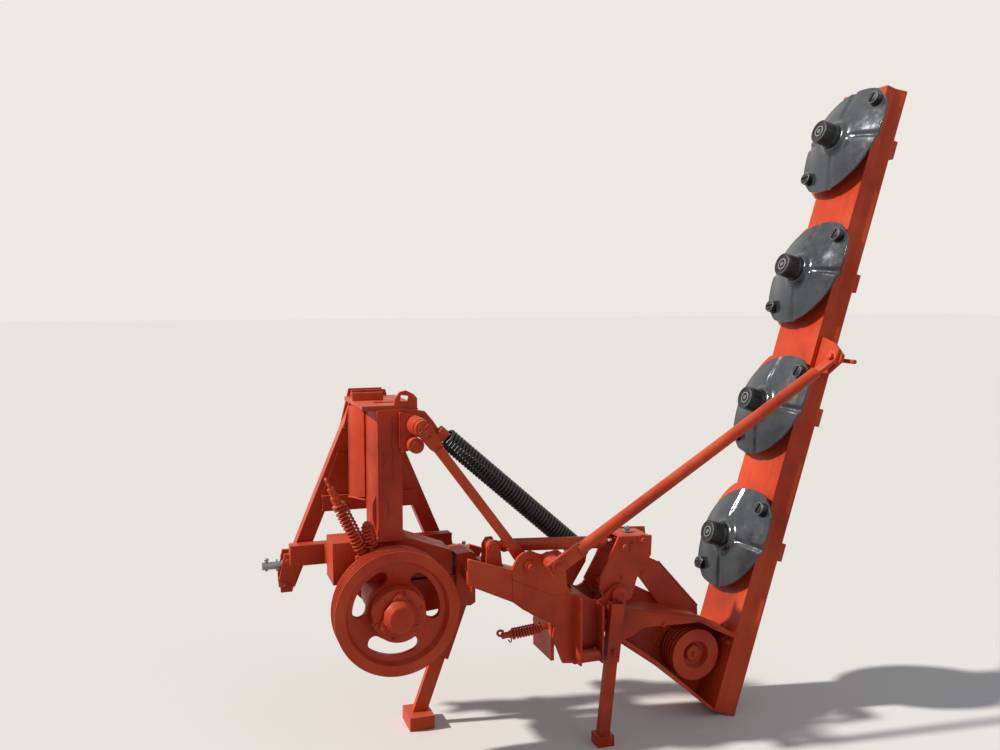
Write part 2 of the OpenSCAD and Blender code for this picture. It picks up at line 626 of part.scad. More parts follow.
module cylinder_rod() {
  color("#c4c8cc") site() rod_site(cyl_x0, cyl_z0, cyl_x1, cyl_z1, 32) {
    translate([140, 0, 0]) rotate([0, 90, 0]) cylinder(r = 12.5, h = cyl_l - 156, $fn = 48);
    difference() {
      translate([cyl_l, 0, 0]) rotate([90, 0, 0]) cylinder(r = 20, h = 36, center = true, $fn = 48);
      translate([cyl_l, 0, 0]) rotate([90, 0, 0]) cylinder(r = 14, h = 40, center = true, $fn = 48);
    }
  }
}
module cylinder_lug() {
  color("#a8321c") site() {
    for (y = [2, 52]) plate(y, y + 9.7) polygon([[304, 129], [306, 198], [320, 219], [342, 219], [354, 198], [362, 129]]);
    ycyl(cyl_x0, cyl_z0, 12.5, -2, 66);
    // Shelf and its foot on the beam
    box([304, -2, 122], [364, 120, 132]);
    box([306, 118, 40], [364, 129.7, 132]);
  }
}
module fold_pin() {
  color("#8d9094") site() {
    ycyl(fold_x, fold_z, 20, -66, 136);
    ycyl(fold_x, fold_z, 27, -72, -60.3);
  }
}

hitch_legs();
hitch_tie();
infill_plate();
mast_column();
mast_channel();
top_bracket();
cross_beam();
hitch_pins();
bearing_housing();
pin_boss();
tension_rod();
belt_tensioner();
tensioner_spring();
subframe_root();
subframe_beam();
ear_plate();
end_clevis();
clevis_tube();
release_rod();
release_spring();
balance_spring();
spring_anchors();
stand_sockets();
park_stand();
shoe_stand();
drive_pulley();
drive_hub();
input_shaft();
bar_panel();
bar_guards();
skid_shoes();
end_plate();
transport_lug();
inner_shoe();
bevel_gearbox();
lift_lever();
link_plate();
rotor_necks();
driven_pulley();
driven_hub();
rotor(0);  // rotor_1
rotor(1);  // rotor_2
rotor(2);  // rotor_3
rotor(3);  // rotor_4
cap(0);  // cap_1
cap(1);  // cap_2
cap(2);  // cap_3
cap(3);  // cap_4
transport_rod();
cylinder_barrel();
cylinder_rod();
cylinder_lug();
fold_pin();
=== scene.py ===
import json
import math
import bmesh
import bpy
from mathutils import Matrix, Vector


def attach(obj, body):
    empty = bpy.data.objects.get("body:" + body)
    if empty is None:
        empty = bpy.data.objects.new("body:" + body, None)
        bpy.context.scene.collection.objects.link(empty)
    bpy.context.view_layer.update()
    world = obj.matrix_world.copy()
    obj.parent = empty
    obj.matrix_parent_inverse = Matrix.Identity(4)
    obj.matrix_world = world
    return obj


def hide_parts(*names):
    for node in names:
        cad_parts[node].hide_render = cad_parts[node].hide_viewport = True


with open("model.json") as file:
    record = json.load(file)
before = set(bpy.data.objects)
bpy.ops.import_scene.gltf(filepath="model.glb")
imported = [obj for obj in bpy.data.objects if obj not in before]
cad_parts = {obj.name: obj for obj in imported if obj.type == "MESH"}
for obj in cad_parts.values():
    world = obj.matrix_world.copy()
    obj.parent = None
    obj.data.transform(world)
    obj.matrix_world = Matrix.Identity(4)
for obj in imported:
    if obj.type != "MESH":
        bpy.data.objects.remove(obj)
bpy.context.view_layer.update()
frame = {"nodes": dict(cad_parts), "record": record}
nodes = frame["nodes"]
print("frame loaded:", len(nodes), "nodes")

# Places are in millimetres from the centre of the belt pulley's rear face: x towards
# the cutter bar, y forward, z up. Places on the bar start at its inner rotor's foot:
# x along the bar, y forward, z out of the panel.
mmPerMetre = 1000
pulleyAxis = Vector((-788.5, -182.0, 509.4))
barFoot = Vector((1357.0, 84.0, 115.0))
barLean = math.radians(16.74)


def siteMatrix():
    return Matrix.Translation(pulleyAxis / mmPerMetre) @ Matrix.Scale(1 / mmPerMetre, 4)


def barMatrix():
    turn = Matrix.Rotation(barLean - math.pi / 2, 4, "Y")
    return siteMatrix() @ Matrix.Translation(barFoot) @ turn


def toLinear(hexColour):
    channels = [int(hexColour[i:i + 2], 16) / 255 for i in (1, 3, 5)]
    return [c / 12.92 if c <= 0.04045 else ((c + 0.055) / 1.055) ** 2.4 for c in channels] + [1.0]


def grey(level):
    return [level] * 3 + [1]


def addNode(tree, kind, settings=None, links=None):
    node = tree.nodes.new(kind)
    for name, value in (settings or {}).items():
        if hasattr(node, name):
            setattr(node, name, value)
        else:
            node.inputs[name].default_value = value
    for name, source in (links or {}).items():
        tree.links.new(source, node.inputs[name])
    return node


def newMaterial(name):
    mat = bpy.data.materials.new(name)
    mat.use_nodes = True
    tree = mat.node_tree
    tree.nodes.clear()
    shader = tree.nodes.new("ShaderNodeBsdfPrincipled")
    addNode(tree, "ShaderNodeOutputMaterial", {}, {0: shader.outputs[0]})
    return mat, tree, shader


def objectCoord(tree):
    return tree.nodes.new("ShaderNodeTexCoord").outputs["Object"]


def noiseAt(tree, coord, sizeMm, detail, roughness=0.55, stretch=(1, 1, 1)):
    # a noise whose patches are about sizeMm across
    mapped = addNode(tree, "ShaderNodeMapping", {"Scale": stretch}, {"Vector": coord})
    settings = {"Scale": mmPerMetre / sizeMm, "Detail": detail, "Roughness": roughness}
    noise = addNode(tree, "ShaderNodeTexNoise", settings, {"Vector": mapped.outputs[0]})
    return noise.outputs["Fac"]


def ramp(tree, factor, stops):
    node = addNode(tree, "ShaderNodeValToRGB", {}, {"Fac": factor})
    elements = node.color_ramp.elements
    while len(elements) < len(stops):
        elements.new(0.5)
    for element, (place, colour) in zip(elements, stops):
        element.position = place
        element.color = toLinear(colour) if isinstance(colour, str) else grey(colour)
    return node.outputs["Color"]


def maskAt(tree, coord, mask, stretch=(1, 1, 1)):
    # 0 below the mask's low level of its noise, 1 above its high level
    noise = noiseAt(tree, coord, mask["mm"], mask["detail"], mask["rough"], stretch)
    return ramp(tree, noise, [(mask["low"], 0.0), (mask["high"], 1.0)])


# a colour mix takes its factor and two colours at these inputs, and gives its colour at this output
mixInputs = (0, 6, 7)
mixOutput = 2


def mix(tree, factor, first, second):
    node = addNode(tree, "ShaderNodeMix", {"data_type": "RGBA"})
    for slot, value in zip(mixInputs, (factor, first, second)):
        if isinstance(value, list):
            node.inputs[slot].default_value = value
        else:
            tree.links.new(value, node.inputs[slot])
    return node.outputs[mixOutput]


def maths(tree, operation, a, b):
    node = addNode(tree, "ShaderNodeMath", {"operation": operation})
    for slot, value in enumerate((a, b)):
        if isinstance(value, (int, float)):
            node.inputs[slot].default_value = value
        else:
            tree.links.new(value, node.inputs[slot])
    return node.outputs[0]


def times(tree, a, b):
    return maths(tree, "MULTIPLY", a, b)


def coat(tree, base, mask, share, colour):
    # lays a colour over the base where the mask is 1, up to its share
    return mix(tree, times(tree, mask, share), base, toLinear(colour))


def edgeMask(tree, look):
    # the normal rounded over edges, and a mask that is 1 on them
    settings = {"samples": look["edgeSamples"], "Radius": look["edgeMm"] / mmPerMetre}
    rounded = addNode(tree, "ShaderNodeBevel", settings).outputs[0]
    flat = tree.nodes.new("ShaderNodeNewGeometry").outputs["Normal"]
    facing = addNode(tree, "ShaderNodeVectorMath", {"operation": "DOT_PRODUCT"}, {0: rounded, 1: flat})
    stops = [(look["edgeFull"], 1.0), (look["edgeNone"], 0.0)]
    return rounded, ramp(tree, facing.outputs["Value"], stops)


def setSurface(tree, shader, base, roughness, values):
    tree.links.new(base, shader.inputs["Base Color"])
    tree.links.new(roughness, shader.inputs["Roughness"])
    for name, value in values.items():
        shader.inputs[name].default_value = value


def setBump(tree, shader, height, look, normal=None):
    links = {"Height": height}
    if normal:
        links["Normal"] = normal
    settings = {"Strength": look["bump"], "Distance": look["bumpMm"] / mmPerMetre}
    bump = addNode(tree, "ShaderNodeBump", settings, links)
    tree.links.new(bump.outputs[0], shader.inputs["Normal"])


# Alkyd enamel sprayed over welded steel plate
enamelLook = {
    "fresh": "#B6391B", "sunned": "#C94D27", "thin": "#902A15",
    # the dust colour is real dust and also a painted sunlit sheen on the upward faces
    "primer": "#5A1D14", "dust": "#A07C64", "scratch": "#6E5A50",
    "patchMm": 320, "tones": [(0.32, "thin"), (0.47, "fresh"), (0.68, "sunned")],
    "runs": {"mm": 26, "detail": 3, "rough": 0.6, "low": 0.55, "high": 0.72},
    "runStretch": (1, 1, 0.18), "runShare": 0.35,
    # how far the upward faces turn paler: settled dust, and a painted sunlit sheen
    "dustAndSheenFrom": 0.35, "dustAndSheenFull": 0.95, "dustShare": 0.34, "dustRoughness": 0.72,
    "dustPatches": {"mm": 60, "detail": 5, "rough": 0.65, "low": 0.38, "high": 0.7},
    "edgeSamples": 4, "edgeMm": 2.2, "edgeFull": 0.86, "edgeNone": 0.985, "rubbedShare": 0.7,
    "rubbedPatches": {"mm": 30, "detail": 5, "rough": 0.7, "low": 0.5, "high": 0.62},
    "chips": {"mm": 8, "detail": 6, "rough": 0.75, "low": 0.7, "high": 0.735},
    "chipPatches": {"mm": 150, "detail": 2, "rough": 0.55, "low": 0.5, "high": 0.62},
    "chipShare": 0.75, "chipDepth": -0.6,
    "glossMm": 90, "smoothest": (0.3, 0.3), "roughest": (0.75, 0.46),
    "peelMm": 4.0, "peelShare": 0.5, "waveMm": 45, "waveShare": 0.9, "bump": 0.35, "bumpMm": 0.7,
    "shader": {"IOR": 1.5, "Specular IOR Level": 0.25},
}


def alkydEnamel(name, look):
    # uneven thickness with runs that hang down
    mat, tree, shader = newMaterial(name)
    coord = objectCoord(tree)
    stops = [(level, look[tone]) for level, tone in look["tones"]]
    base = ramp(tree, noiseAt(tree, coord, look["patchMm"], detail=4), stops)
    runs = maskAt(tree, coord, look["runs"], look["runStretch"])
    base = coat(tree, base, runs, look["runShare"], look["thin"])
    # dust on the faces that look up, which is also a painted sunlit sheen: the upward faces are painted
    # paler as if lit from above
    normal = tree.nodes.new("ShaderNodeNewGeometry").outputs["Normal"]
    up = addNode(tree, "ShaderNodeSeparateXYZ", {}, {0: normal}).outputs["Z"]
    upward = ramp(tree, up, [(look["dustAndSheenFrom"], 0.0), (look["dustAndSheenFull"], 1.0)])
    dustAndPaintedSheen = times(tree, upward, maskAt(tree, coord, look["dustPatches"]))
    base = coat(tree, base, dustAndPaintedSheen, look["dustShare"], look["dust"])
    # edges rubbed to the primer, and small chips in patches
    rounded, edge = edgeMask(tree, look)
    rubbed = times(tree, edge, maskAt(tree, coord, look["rubbedPatches"]))
    base = coat(tree, base, rubbed, look["rubbedShare"], look["primer"])
    chips = times(tree, maskAt(tree, coord, look["chips"]), maskAt(tree, coord, look["chipPatches"]))
    base = coat(tree, base, chips, look["chipShare"], look["scratch"])
    gloss = noiseAt(tree, coord, look["glossMm"], detail=4, roughness=0.6)
    gloss = ramp(tree, gloss, [look["smoothest"], look["roughest"]])
    setSurface(tree, shader, base, mix(tree, dustAndPaintedSheen, gloss, grey(look["dustRoughness"])), look["shader"])
    # orange peel, the chips' depth and the plate's slow waves
    peel = times(tree, noiseAt(tree, coord, look["peelMm"], detail=2), look["peelShare"])
    peel = maths(tree, "ADD", peel, times(tree, chips, look["chipDepth"]))
    waves = times(tree, noiseAt(tree, coord, look["waveMm"], detail=2), look["waveShare"])
    setBump(tree, shader, maths(tree, "ADD", peel, waves), look, rounded)
    return mat


# Stoved enamel and oiled steel: what the dark finishes share, then each one's own values
darkShared = {
    "deepUpTo": 0.35, "paleFrom": 0.7,
    "edgeSamples": 4, "edgeFull": 0.84, "edgeNone": 0.98, "rubbedShare": 0.65,
    "rubbedPatches": {"mm": 18, "detail": 5, "rough": 0.7, "low": 0.42, "high": 0.6},
    "dustPatches": {"mm": 35, "detail": 6, "rough": 0.7, "low": 0.45, "high": 0.8},
    "dustRoughness": 0.22, "dentMm": 55, "grainMm": 3, "grainShare": 0.08, "bumpMm": 1.0, "ior": 1.5,
}
discFinish = {
    "deep": "#393D42", "pale": "#5C6066", "edge": "#A3A6A8", "dust": "#8B8880", "dustShare": 0.1,
    "patchMm": 320, "edgeMm": 1.5, "gloss": 0.15, "metal": 0.6, "bump": 0.14,
}
capFinish = {
    "deep": "#0E1012", "pale": "#1A1D20", "edge": "#54585B", "dust": "#5E5A52", "dustShare": 0.15,
    "patchMm": 60, "edgeMm": 1.2, "gloss": 0.28, "metal": 0.0, "bump": 0.2,
}
springFinish = {
    "deep": "#0D0E10", "pale": "#1B1D20", "edge": "#3A3C3E", "dust": "#4A4640", "dustShare": 0.25,
    "patchMm": 45, "edgeMm": 0.6, "gloss": 0.36, "metal": 0.0, "bump": 0.3,
}


def darkFinish(name, own):
    # smooth where clean, with rubbed edges, fine dust and shallow dents
    look = {**darkShared, **own}
    mat, tree, shader = newMaterial(name)
    coord = objectCoord(tree)
    stops = [(look["deepUpTo"], look["deep"]), (look["paleFrom"], look["pale"])]
    base = ramp(tree, noiseAt(tree, coord, look["patchMm"], detail=4), stops)
    rounded, edge = edgeMask(tree, look)
    rubbed = times(tree, edge, maskAt(tree, coord, look["rubbedPatches"]))
    base = coat(tree, base, rubbed, look["rubbedShare"], look["edge"])
    dust = maskAt(tree, coord, look["dustPatches"])
    base = coat(tree, base, dust, look["dustShare"], look["dust"])
    gloss = ramp(tree, dust, [(0.0, look["gloss"]), (1.0, look["gloss"] + look["dustRoughness"])])
    setSurface(tree, shader, base, gloss, {"Metallic": look["metal"], "IOR": look["ior"]})
    dents = noiseAt(tree, coord, look["dentMm"], detail=2)
    grain = times(tree, noiseAt(tree, coord, look["grainMm"], detail=2), look["grainShare"])
    setBump(tree, shader, maths(tree, "ADD", dents, grain), look, rounded)
    return mat


# Bare steel: what the two share, then each one's own values
steelShared = {
    "darkUpTo": 0.3, "paleFrom": 0.7, "glossAt": 0.2, "dullAt": 0.8, "dulling": 0.14,
    "stainPatches": {"mm": 40, "detail": 5, "rough": 0.65, "low": 0.52, "high": 0.75},
    "bump": 0.15, "bumpMm": 0.3,
}
turnedFinish = {
    "dark": "#7A7C7D", "pale": "#A5A8AA", "stain": "#5A4A3C", "stainShare": 0.35,
    "markMm": 1.5, "stretch": (1, 6, 1), "gloss": 0.34,
}
chromeFinish = {
    "dark": "#B9BDC0", "pale": "#D4D8DB", "stain": "#8B8A86", "stainShare": 0.15,
    "markMm": 1.2, "stretch": (0.2, 3, 3), "gloss": 0.12,
}


def workedSteel(name, own):
    # fine lathe or drawing marks and a little stain
    look = {**steelShared, **own}
    mat, tree, shader = newMaterial(name)
    coord = objectCoord(tree)
    marks = noiseAt(tree, coord, look["markMm"], detail=3, roughness=0.6, stretch=look["stretch"])
    base = ramp(tree, marks, [(look["darkUpTo"], look["dark"]), (look["paleFrom"], look["pale"])])
    base = coat(tree, base, maskAt(tree, coord, look["stainPatches"]), look["stainShare"], look["stain"])
    dull = look["gloss"] + look["dulling"]
    gloss = ramp(tree, marks, [(look["glossAt"], look["gloss"]), (look["dullAt"], dull)])
    setSurface(tree, shader, base, gloss, {"Metallic": 1.0})
    setBump(tree, shader, marks, look)
    return mat


slotMaterials = {
    "orange_red_enamel": alkydEnamel("alkydEnamelOrangeRed", enamelLook),
    "graphite_enamel": darkFinish("stovedEnamelGraphite", discFinish),
    "black_enamel": darkFinish("stovedEnamelBlack", capFinish),
    "spring_black": darkFinish("oiledSpringSteel", springFinish),
    "bare_steel": workedSteel("turnedSteel", turnedFinish),
    "chromed_rod": workedSteel("hardChrome", chromeFinish),
}
for entry in frame["record"]["subparts"]:
    for slot in nodes[entry["node"]].material_slots:
        slot.material = slotMaterials[entry["material_slot"]]
print("materials set on the CAD nodes")

# Shapes are made in millimetres about their own z axis and then put in place.
mergeMm = 0.001
plateEaseMm = 0.8
ringEaseMm = 1.0
ringEaseShare = 0.3       # of a ring's height, where that is less
hexagonEase = 0.045       # of the width across flats
towards = {
    "up": Matrix(),
    "down": Matrix.Rotation(math.pi, 4, "X"),
    "back": Matrix.Rotation(math.pi / 2, 4, "X"),
    "front": Matrix.Rotation(-math.pi / 2, 4, "X"),
}


def turned(degrees, axis="Z"):
    return Matrix.Rotation(math.radians(degrees), 4, axis)


def shifted(x, y, z):
    return Matrix.Translation((x, y, z))


def spot(place, turn="up", spin=0.0, bar=False):
    base = barMatrix() if bar else siteMatrix()
    return base @ shifted(*place) @ towards[turn] @ turned(spin)


def alongRod(rod, offset=0.0):
    # local z runs from the rod's start to its end
    start = Vector(rod["start"])
    way = Vector(rod["end"]) - start
    turn = way.to_track_quat("Z", "Y").to_matrix().to_4x4()
    return siteMatrix() @ Matrix.Translation(start + way.normalized() * offset) @ turn


def thicken(bm, faces, rise):
    grown = bmesh.ops.extrude_face_region(bm, geom=faces)["geom"]
    verts = [item for item in grown if isinstance(item, bmesh.types.BMVert)]
    bmesh.ops.translate(bm, vec=(0, 0, rise), verts=verts)


def easeEdges(bm, edges, width):
    bmesh.ops.bevel(bm, geom=edges, offset=width, affect="EDGES", segments=2, profile=0.5, material=-1)


def turnedShape(profile, steps=40):
    # profile points are (radius, height); those on the axis are joined to one
    bm = bmesh.new()
    verts = [bm.verts.new((radius, 0, height)) for radius, height in profile]
    edges = [bm.edges.new(pair) for pair in zip(verts, verts[1:])]
    bmesh.ops.spin(bm, geom=verts + edges, cent=(0, 0, 0), axis=(0, 0, 1),
                   angle=2 * math.pi, steps=steps, use_merge=True)
    bmesh.ops.remove_doubles(bm, verts=bm.verts, dist=mergeMm)
    return bm


def cutShape(outline, thickness):
    # flame-cut plate: outline in x and y, thickness along z, edges eased
    bm = bmesh.new()
    face = bm.faces.new([bm.verts.new((x, y, 0)) for x, y in outline])
    thicken(bm, [face], thickness)
    easeEdges(bm, bm.edges[:], plateEaseMm)
    return bm


def hexShape(across, height):
    # a hexagon by its width across flats
    bm = bmesh.new()
    corner = across / math.sqrt(3)
    bmesh.ops.create_cone(bm, cap_ends=True, segments=6, radius1=corner, radius2=corner, depth=height)
    bmesh.ops.translate(bm, vec=(0, 0, height / 2), verts=bm.verts)
    easeEdges(bm, bm.edges[:], across * hexagonEase)
    return bm


def coilShape(radius, wire, pitch, turns, steps=24, sides=10):
    bm = bmesh.new()
    bmesh.ops.create_circle(bm, segments=sides, radius=wire, matrix=shifted(radius, 0, 0) @ towards["back"])
    bmesh.ops.spin(bm, geom=bm.verts[:] + bm.edges[:], cent=(0, 0, 0), axis=(0, 0, 1),
                   dvec=(0, 0, pitch / steps), angle=2 * math.pi * turns,
                   steps=int(steps * turns), use_merge=False)
    bmesh.ops.holes_fill(bm, edges=[edge for edge in bm.edges if edge.is_boundary], sides=0)
    return bm


def wireShape(points, radius):
    # round wire on a smooth curve through the points
    curve = bpy.data.curves.new("wire", "CURVE")
    curve.dimensions = "3D"
    curve.bevel_depth = radius
    curve.bevel_resolution = 2
    curve.resolution_u = 6
    curve.use_fill_caps = True
    spline = curve.splines.new("BEZIER")
    spline.bezier_points.add(len(points) - 1)
    for knot, point in zip(spline.bezier_points, points):
        knot.co = point
        knot.handle_left_type = "AUTO"
        knot.handle_right_type = "AUTO"
    wire = bpy.data.objects.new("wire", curve)
    mesh = bpy.data.meshes.new_from_object(wire)
    bm = bmesh.new()
    bm.from_mesh(mesh)
    bpy.data.objects.remove(wire)
    bpy.data.curves.remove(curve)
    bpy.data.meshes.remove(mesh)
    return bm


beadLook = {"radius": 3.2, "step": 3.6, "wander": 0.5, "wanderTurn": 2.3, "swell": 0.12, "swellTurn": 1.7}


def weldShape(look, start, end):
    # a run of overlapping beads
    bm = bmesh.new()
    way = Vector(end) - Vector(start)
    count = max(2, int(way.length / look["step"]))
    for i in range(count + 1):
        wander = look["wander"] * math.sin(i * look["wanderTurn"])
        middle = Vector(start) + way * (i / count) + Vector((wander, wander, wander))
        radius = look["radius"] * (1 + look["swell"] * math.sin(i * look["swellTurn"]))
        bmesh.ops.create_icosphere(bm, subdivisions=1, radius=radius, matrix=Matrix.Translation(middle))
    return bm


def piece(name, parts, body, slot="orange_red_enamel", replaces=None, angle=38):
    # joins (shape, place) pairs to one object; faces meeting under the angle are shaded smooth
    whole = bmesh.new()
    for shape, place in parts:
        shape.transform(place)
        mesh = bpy.data.meshes.new("part")
        shape.to_mesh(mesh)
        shape.free()
        whole.from_mesh(mesh)
        bpy.data.meshes.remove(mesh)
    bmesh.ops.recalc_face_normals(whole, faces=whole.faces)
    mesh = bpy.data.meshes.new(name)
    whole.to_mesh(mesh)
    whole.free()
    for polygon in mesh.polygons:
        polygon.use_smooth = True
    mesh.set_sharp_from_angle(angle=math.radians(angle))
    mesh.materials.append(slotMaterials[slot])
    obj = bpy.data.objects.new(name, mesh)
    bpy.context.scene.collection.objects.link(obj)
    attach(obj, body)
    if replaces:
        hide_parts(replaces)


# lengths of a bolt set as shares of the width across flats, apart from those in mm
boltLook = {
    "washer": 1.08, "washerTop": 1.02, "washerMm": 2.5, "washerEaseMm": 0.5, "seatMm": 2.4,
    "head": 0.62, "nut": 0.82, "thread": 0.31, "threadTip": 0.25, "threadEnd": 1.05, "threadEaseMm": 1.5,
}


def boltParts(place, across, washer=True, nut=False, look=boltLook):
    # a hexagon head on its washer, or a nut with the thread's end
    parts = []
    lift = 0.0
    if washer:
        lift = look["seatMm"]
        high = look["washerMm"]
        ease = look["washerEaseMm"]
        wide = across * look["washer"]
        narrow = across * look["washerTop"]
        profile = [(0, 0), (narrow, 0), (wide, ease), (wide, high - ease), (narrow, high), (0, high)]
        parts.append((turnedShape(profile, steps=28), place))
    height = across * (look["nut"] if nut else look["head"])
    parts.append((hexShape(across, height), place @ shifted(0, 0, lift)))
    if nut:
        top = lift + across * look["threadEnd"]
        thread = across * look["thread"]
        tip = across * look["threadTip"]
        profile = [(0, 0), (thread, 0), (thread, top - look["threadEaseMm"]), (tip, top), (0, top)]
        parts.append((turnedShape(profile, steps=20), place))
    return parts


def boltCircle(row):
    # bolts about an axis that runs fore and aft, the first at the row's heading
    parts = []
    x, y, z = row["centre"]
    for i in range(row["count"]):
        spin = row["first"] + i * 360 / row["count"]
        heading = math.radians(spin + row["lead"])
        place = (x + row["radius"] * math.cos(heading), y, z + row["radius"] * math.sin(heading))
        seat = spot(place, row["side"], spin)
        parts += boltParts(seat, row["across"], row.get("washer", True), row.get("nut", False))
    return parts


def ringParts(place, outer, inner, height):
    ease = min(ringEaseMm, height * ringEaseShare)
    profile = [(inner, 0), (outer - ease, 0), (outer, ease), (outer, height - ease),
               (outer - ease, height), (inner, height), (inner, 0)]
    return [(turnedShape(profile), place)]


balanceSpring = {"start": (190, 100, 566), "end": (674, 100, 142), "radius": 31, "wire": 6, "turns": 47}


def makeBalanceSpring(look):
    wire = look["wire"]
    length = (Vector(look["end"]) - Vector(look["start"])).length
    coil = coilShape(look["radius"], wire, (length - 2 * wire) / look["turns"], look["turns"])
    piece("balanceSpringCoil", [(coil, alongRod(look, wire))], "frame", "spring_black",
          replaces="balance_spring")
    print("balance spring wound:", look["turns"], "turns")


makeBalanceSpring(balanceSpring)

# the rods that carry the small springs
rods = {
    "tensioner": {"start": (-201, 110, 413), "end": (-84, 110, 168)},
    "release": {"start": (355, -10, -112), "end": (519, -10, -97)},
    "return": {"start": (-62, 100, 182), "end": (-84, 100, 292)},
    "stud": {"start": (-62, 100, 178), "end": (-84, 100, 292)},
}
smallSprings = {
    "tensionerCoil": {"rod": "tensioner", "from": 83, "radius": 21, "wire": 4.2, "pitch": 13.6,
                      "turns": 10.8, "replaces": "tensioner_spring"},
    "releaseCoil": {"rod": "release", "from": 49, "radius": 16.5, "wire": 3.5, "pitch": 10.2,
                    "turns": 9.2, "replaces": "release_spring"},
    "returnCoil": {"rod": "return", "from": 41, "radius": 19, "wire": 4.2, "pitch": 12.4,
                   "turns": 4.6, "replaces": None},
}


def makeSmallSprings(look):
    for name, row in look.items():
        coil = coilShape(row["radius"], row["wire"], row["pitch"], row["turns"])
        place = alongRod(rods[row["rod"]], row["from"])
        piece(name, [(coil, place)], "frame", replaces=row["replaces"])
    print("small springs wound")


makeSmallSprings(smallSprings)

# hexagons are (place along the rod, across flats, height), washers (place, outer, inner, height)
tensionerLook = {
    "rodHexagons": [(30, 30, 14), (46, 30, 9)],
    "rodWasher": (238, 22, 12, 5),
    "eye": [(0, 0, 2), (0, 0, -10), (9, 0, -20), (4, 0, -34), (-9, 0, -32), (-8, 0, -20)],
    "eyeWire": 5.0,
    "stud": [(0, 0), (9, 0), (9, 116), (7, 119), (0, 119)],
    "studHexagon": (104, 26, 10),
    "studWashers": [(34, 23, 9, 4), (100, 22, 9, 3)],
}


def hexOn(rod, row):
    place, across, height = row
    return (hexShape(across, height), alongRod(rod) @ shifted(0, 0, place))


def washerOn(rod, row):
    place, outer, inner, height = row
    return ringParts(alongRod(rod) @ shifted(0, 0, place), outer, inner, height)


def makeTensionerEnds(look):
    rod = rods["tensioner"]
    stud = rods["stud"]
    parts = [hexOn(rod, row) for row in look["rodHexagons"]]
    parts += washerOn(rod, look["rodWasher"])
    # bent eye above the nuts
    parts.append((wireShape(look["eye"], look["eyeWire"]), alongRod(rod)))
    # stud through the short spring, its nut and washers
    parts.append((turnedShape(look["stud"], steps=24), alongRod(stud)))
    parts.append(hexOn(stud, look["studHexagon"]))
    for row in look["studWashers"]:
        parts += washerOn(stud, row)
    piece("tensionerNuts", parts, "frame")
    print("tensioner fitted")


makeTensionerEnds(tensionerLook)

releaseLook = {
    "hexagon": (28, 26, 10),
    "hook": [(0, 0, 2), (0, 4, -9), (0, 14, -14), (0, 20, -4), (0, 14, 8)], "hookWire": 4.5,
    "clip": [(0, 0, 30), (-12, -14, 30), (-4, -26, 28), (9, -22, 26)], "clipWire": 2.2,
}


def makeReleaseHook(look):
    rod = rods["release"]
    parts = [hexOn(rod, look["hexagon"])]
    parts.append((wireShape(look["hook"], look["hookWire"]), alongRod(rod)))
    parts.append((wireShape(look["clip"], look["clipWire"]), alongRod(rod)))
    piece("releaseHook", parts, "frame")


makeReleaseHook(releaseLook)

rotorRow = {"rotors": 4, "pitch": 525.0, "rimHeight": 34.0}

# a dished sheet, cut to an oval by two wide arcs, with four pressed grooves
discLook = {
    "sheet": 7.0, "steps": 176, "halfWidth": 176.0, "halfLength": 225.0, "arcOverrun": 15.0,
    "neckRadius": 66.0, "ovalTurn": 45, "shadeAngle": 50,
    "grooveStart": 68.0, "grooveFade": 22.0, "grooveDepth": 7.5, "grooveFlat": 5.1, "grooveSlope": 5.95,
    "profile": [(48, 58.0), (53, 57.6), (57, 55.5), (60, 51), (64, 46), (72, 42), (86, 39), (110, 34),
                (138, 26.5), (166, 17), (190, 10.5), (210, 6.2), (220, 4.6), (225, 4)],
    "hub": [(0, -32), (20, -32), (20, 20), (48, 24), (48.5, 50), (0, 50)],
}


def ovalReach(look, heading):
    # distance from the axis to the edge: the wide arcs, or the round ends where those lie nearer
    half = look["halfWidth"]
    end = look["halfLength"] + look["arcOverrun"]
    arc = (end ** 2 + half ** 2) / (2 * half)
    drop = (arc - half) * abs(math.sin(heading))
    reach = math.sqrt(max(0.0, drop ** 2 + arc ** 2 - (arc - half) ** 2)) - drop
    return min(look["halfLength"], reach)


profileSlackMm = 0.01


def heightAt(profile, radius, height):
    # a point outside the profile keeps the height it has
    for (r0, h0), (r1, h1) in zip(profile, profile[1:]):
        if r0 <= radius <= r1 + profileSlackMm:
            height = h0 + (h1 - h0) * (radius - r0) / (r1 - r0)
    return height


def grooveShare(look, x, y, radius):
    # 1 on the floor of a groove, 0 beside it and at the neck; the grooves run out along x and y
    offset = min(abs(x), abs(y))
    fade = min(1.0, max(0.0, (radius - look["grooveStart"]) / look["grooveFade"]))
    level = 1 - min(1.0, max(0.0, (offset - look["grooveFlat"]) / look["grooveSlope"]))
    return fade * level * level * (3 - 2 * level)


def pressedDisc(look):
    bm = turnedShape(look["profile"], look["steps"])
    neck = look["neckRadius"]
    for vert in bm.verts:
        radius = math.hypot(vert.co.x, vert.co.y)
        angle = math.atan2(vert.co.y, vert.co.x)
        if radius > neck:
            reach = ovalReach(look, angle + math.radians(look["ovalTurn"]))
            radius = neck + (radius - neck) * (reach - neck) / (look["halfLength"] - neck)
        x = radius * math.cos(angle)
        y = radius * math.sin(angle)
        height = heightAt(look["profile"], radius, vert.co.z)
        vert.co = (x, y, height - look["grooveDepth"] * grooveShare(look, x, y, radius))
    thicken(bm, bm.faces[:], -look["sheet"])
    return bm


def makeDisc(look, number, foot):
    name = "rotor_%d" % number
    parts = [(pressedDisc(look), foot), (turnedShape(look["hub"], steps=48), foot)]
    piece("disc%d" % number, parts, name, "graphite_enamel", replaces=name, angle=look["shadeAngle"])


